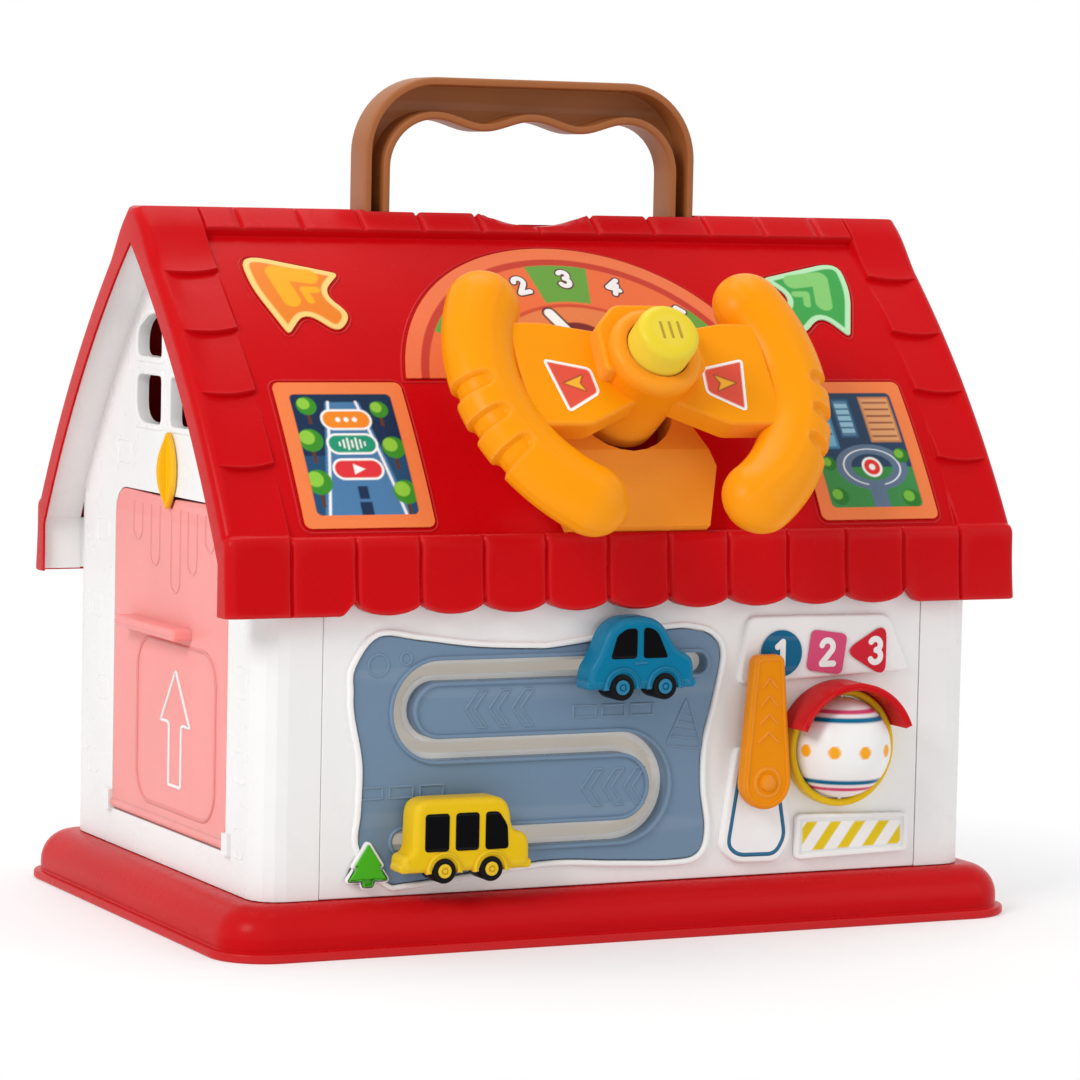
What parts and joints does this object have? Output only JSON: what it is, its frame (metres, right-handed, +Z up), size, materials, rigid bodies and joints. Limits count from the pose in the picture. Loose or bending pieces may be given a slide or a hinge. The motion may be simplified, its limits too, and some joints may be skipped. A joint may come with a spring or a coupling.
{
  "type": "toy activity house",
  "caption": "Moulded toy house with carrying handle, roof steering wheel with horn button, slotted road panel with vehicles, barrier lever, turning ball and latched garage door.",
  "frame": {"origin": "on the ground, at the bottom centre of the bounding box", "axes": "+X right along the front, -Y out of the front, +Z up"},
  "size_m": [0.3, 0.231, 0.2894],
  "materials": {
    "red_plastic": "smooth moulded",
    "white_plastic": "satin moulded",
    "blue_grey_plastic": "satin moulded",
    "orange_plastic": "smooth moulded",
    "yellow_plastic": "smooth moulded",
    "brown_plastic": "satin moulded",
    "salmon_plastic": "smooth moulded",
    "blue_plastic": "smooth moulded",
    "green_plastic": "satin moulded",
    "grey_plastic": "satin moulded",
    "dark_plastic": "satin moulded",
    "teal_print": "satin moulded",
    "pink_print": "satin moulded",
    "red_print": "satin moulded",
    "orange_print": "satin moulded",
    "green_print": "satin moulded",
    "steel": "plain"
  },
  "bodies": {
    "house": {"base_tray": "red_plastic", "back_left_base_screw": "steel", "back_right_base_screw": "steel", "front_left_base_screw": "steel", "front_right_base_screw": "steel", "battery_box": "grey_plastic", "left_battery_cell": "dark_plastic", "right_battery_cell": "dark_plastic", "left_battery_contact": "steel", "right_battery_contact": "steel", "battery_door": "red_plastic", "battery_door_screw": "steel", "left_wall": "white_plastic", "right_wall": "white_plastic", "front_wall": "white_plastic", "back_wall": "white_plastic", "door_hinge_pin": "steel", "power_switch_body": "grey_plastic", "road_panel": "blue_grey_plastic", "track_plate": "grey_plastic", "circle_badge": "teal_print", "square_badge": "pink_print", "triangle_badge": "red_print", "stripe_plate": "yellow_plastic", "tree_badge": "green_plastic", "ball_pin": "steel", "signal_bezel": "yellow_plastic", "signal_hood": "red_plastic", "front_mech_cover": "dark_plastic", "roof_shell": "red_plastic", "handle_well": "grey_plastic", "steering_column": "orange_plastic", "steering_bush": "grey_plastic", "dial_label": "orange_print", "left_screen_label": "orange_print", "right_screen_label": "orange_print", "left_arrow_label": "orange_print", "right_arrow_label": "green_print", "attic_deck": "white_plastic", "circuit_board": "green_plastic", "speaker": "dark_plastic"},
    "handle": {"handle": "brown_plastic"},
    "garage_door": {"garage_door": "salmon_plastic"},
    "leaf_latch": {"leaf_latch": "yellow_plastic", "latch_screw": "steel"},
    "steering_wheel": {"wheel_front": "orange_plastic", "wheel_back": "orange_plastic", "horn_switch": "dark_plastic", "horn_spring": "steel", "steering_shaft": "steel", "shaft_screw": "steel"},
    "horn_button": {"horn_button": "yellow_plastic"},
    "blue_car": {"blue_car": "blue_plastic", "car_retainer": "grey_plastic"},
    "yellow_bus": {"yellow_bus": "yellow_plastic", "bus_retainer": "grey_plastic"},
    "barrier_lever": {"barrier_lever": "orange_plastic", "lever_screw": "steel"},
    "signal_ball": {"signal_ball": "white_plastic"},
    "power_switch": {"power_switch": "dark_plastic"}
  },
  "joints": [
    {"name": "handle_slide", "type": "slide", "parent": "house", "child": "handle", "axis": [0, 0, 1], "range_m": [-0.046, 0]},
    {"name": "door_hinge", "type": "hinge", "parent": "house", "child": "garage_door", "pos_m": [-0.1337, 0.00716, 0.0325], "axis": [0, -1, 0], "range_deg": [0, 103]},
    {"name": "latch_turn", "type": "hinge", "parent": "house", "child": "leaf_latch", "pos_m": [-0.1348, 0.00716, 0.1533], "axis": [1, 0, 0], "range_deg": [-90, 90]},
    {"name": "steering_turn", "type": "hinge", "parent": "house", "child": "steering_wheel", "pos_m": [0, -0.05421, 0.17332], "axis": [0, -0.8057, 0.5923], "range_deg": [-60, 60]},
    {"name": "horn_press", "type": "slide", "parent": "steering_wheel", "child": "horn_button", "axis": [0, -0.8057, 0.5923], "range_m": [-0.003, 0], "stiffness_N_per_m": 300, "springref_m": 0.003, "deforming": ["horn_spring"]},
    {"name": "car_slide", "type": "slide", "parent": "house", "child": "blue_car", "axis": [1, 0, 0], "range_m": [-0.069, 0.021]},
    {"name": "bus_slide", "type": "slide", "parent": "house", "child": "yellow_bus", "axis": [1, 0, 0], "range_m": [-0.0177, 0.045]},
    {"name": "lever_swing", "type": "hinge", "parent": "house", "child": "barrier_lever", "pos_m": [0.0487, -0.07984, 0.051], "axis": [0, -1, 0], "range_deg": [0, 90]},
    {"name": "ball_spin", "type": "hinge", "parent": "house", "child": "signal_ball", "pos_m": [0.0804, -0.07834, 0.0613], "axis": [0, 0, 1], "continuous": true},
    {"name": "power_slide", "type": "slide", "parent": "house", "child": "power_switch", "axis": [-1, 0, 0], "range_m": [0, 0.006]}
  ]
}
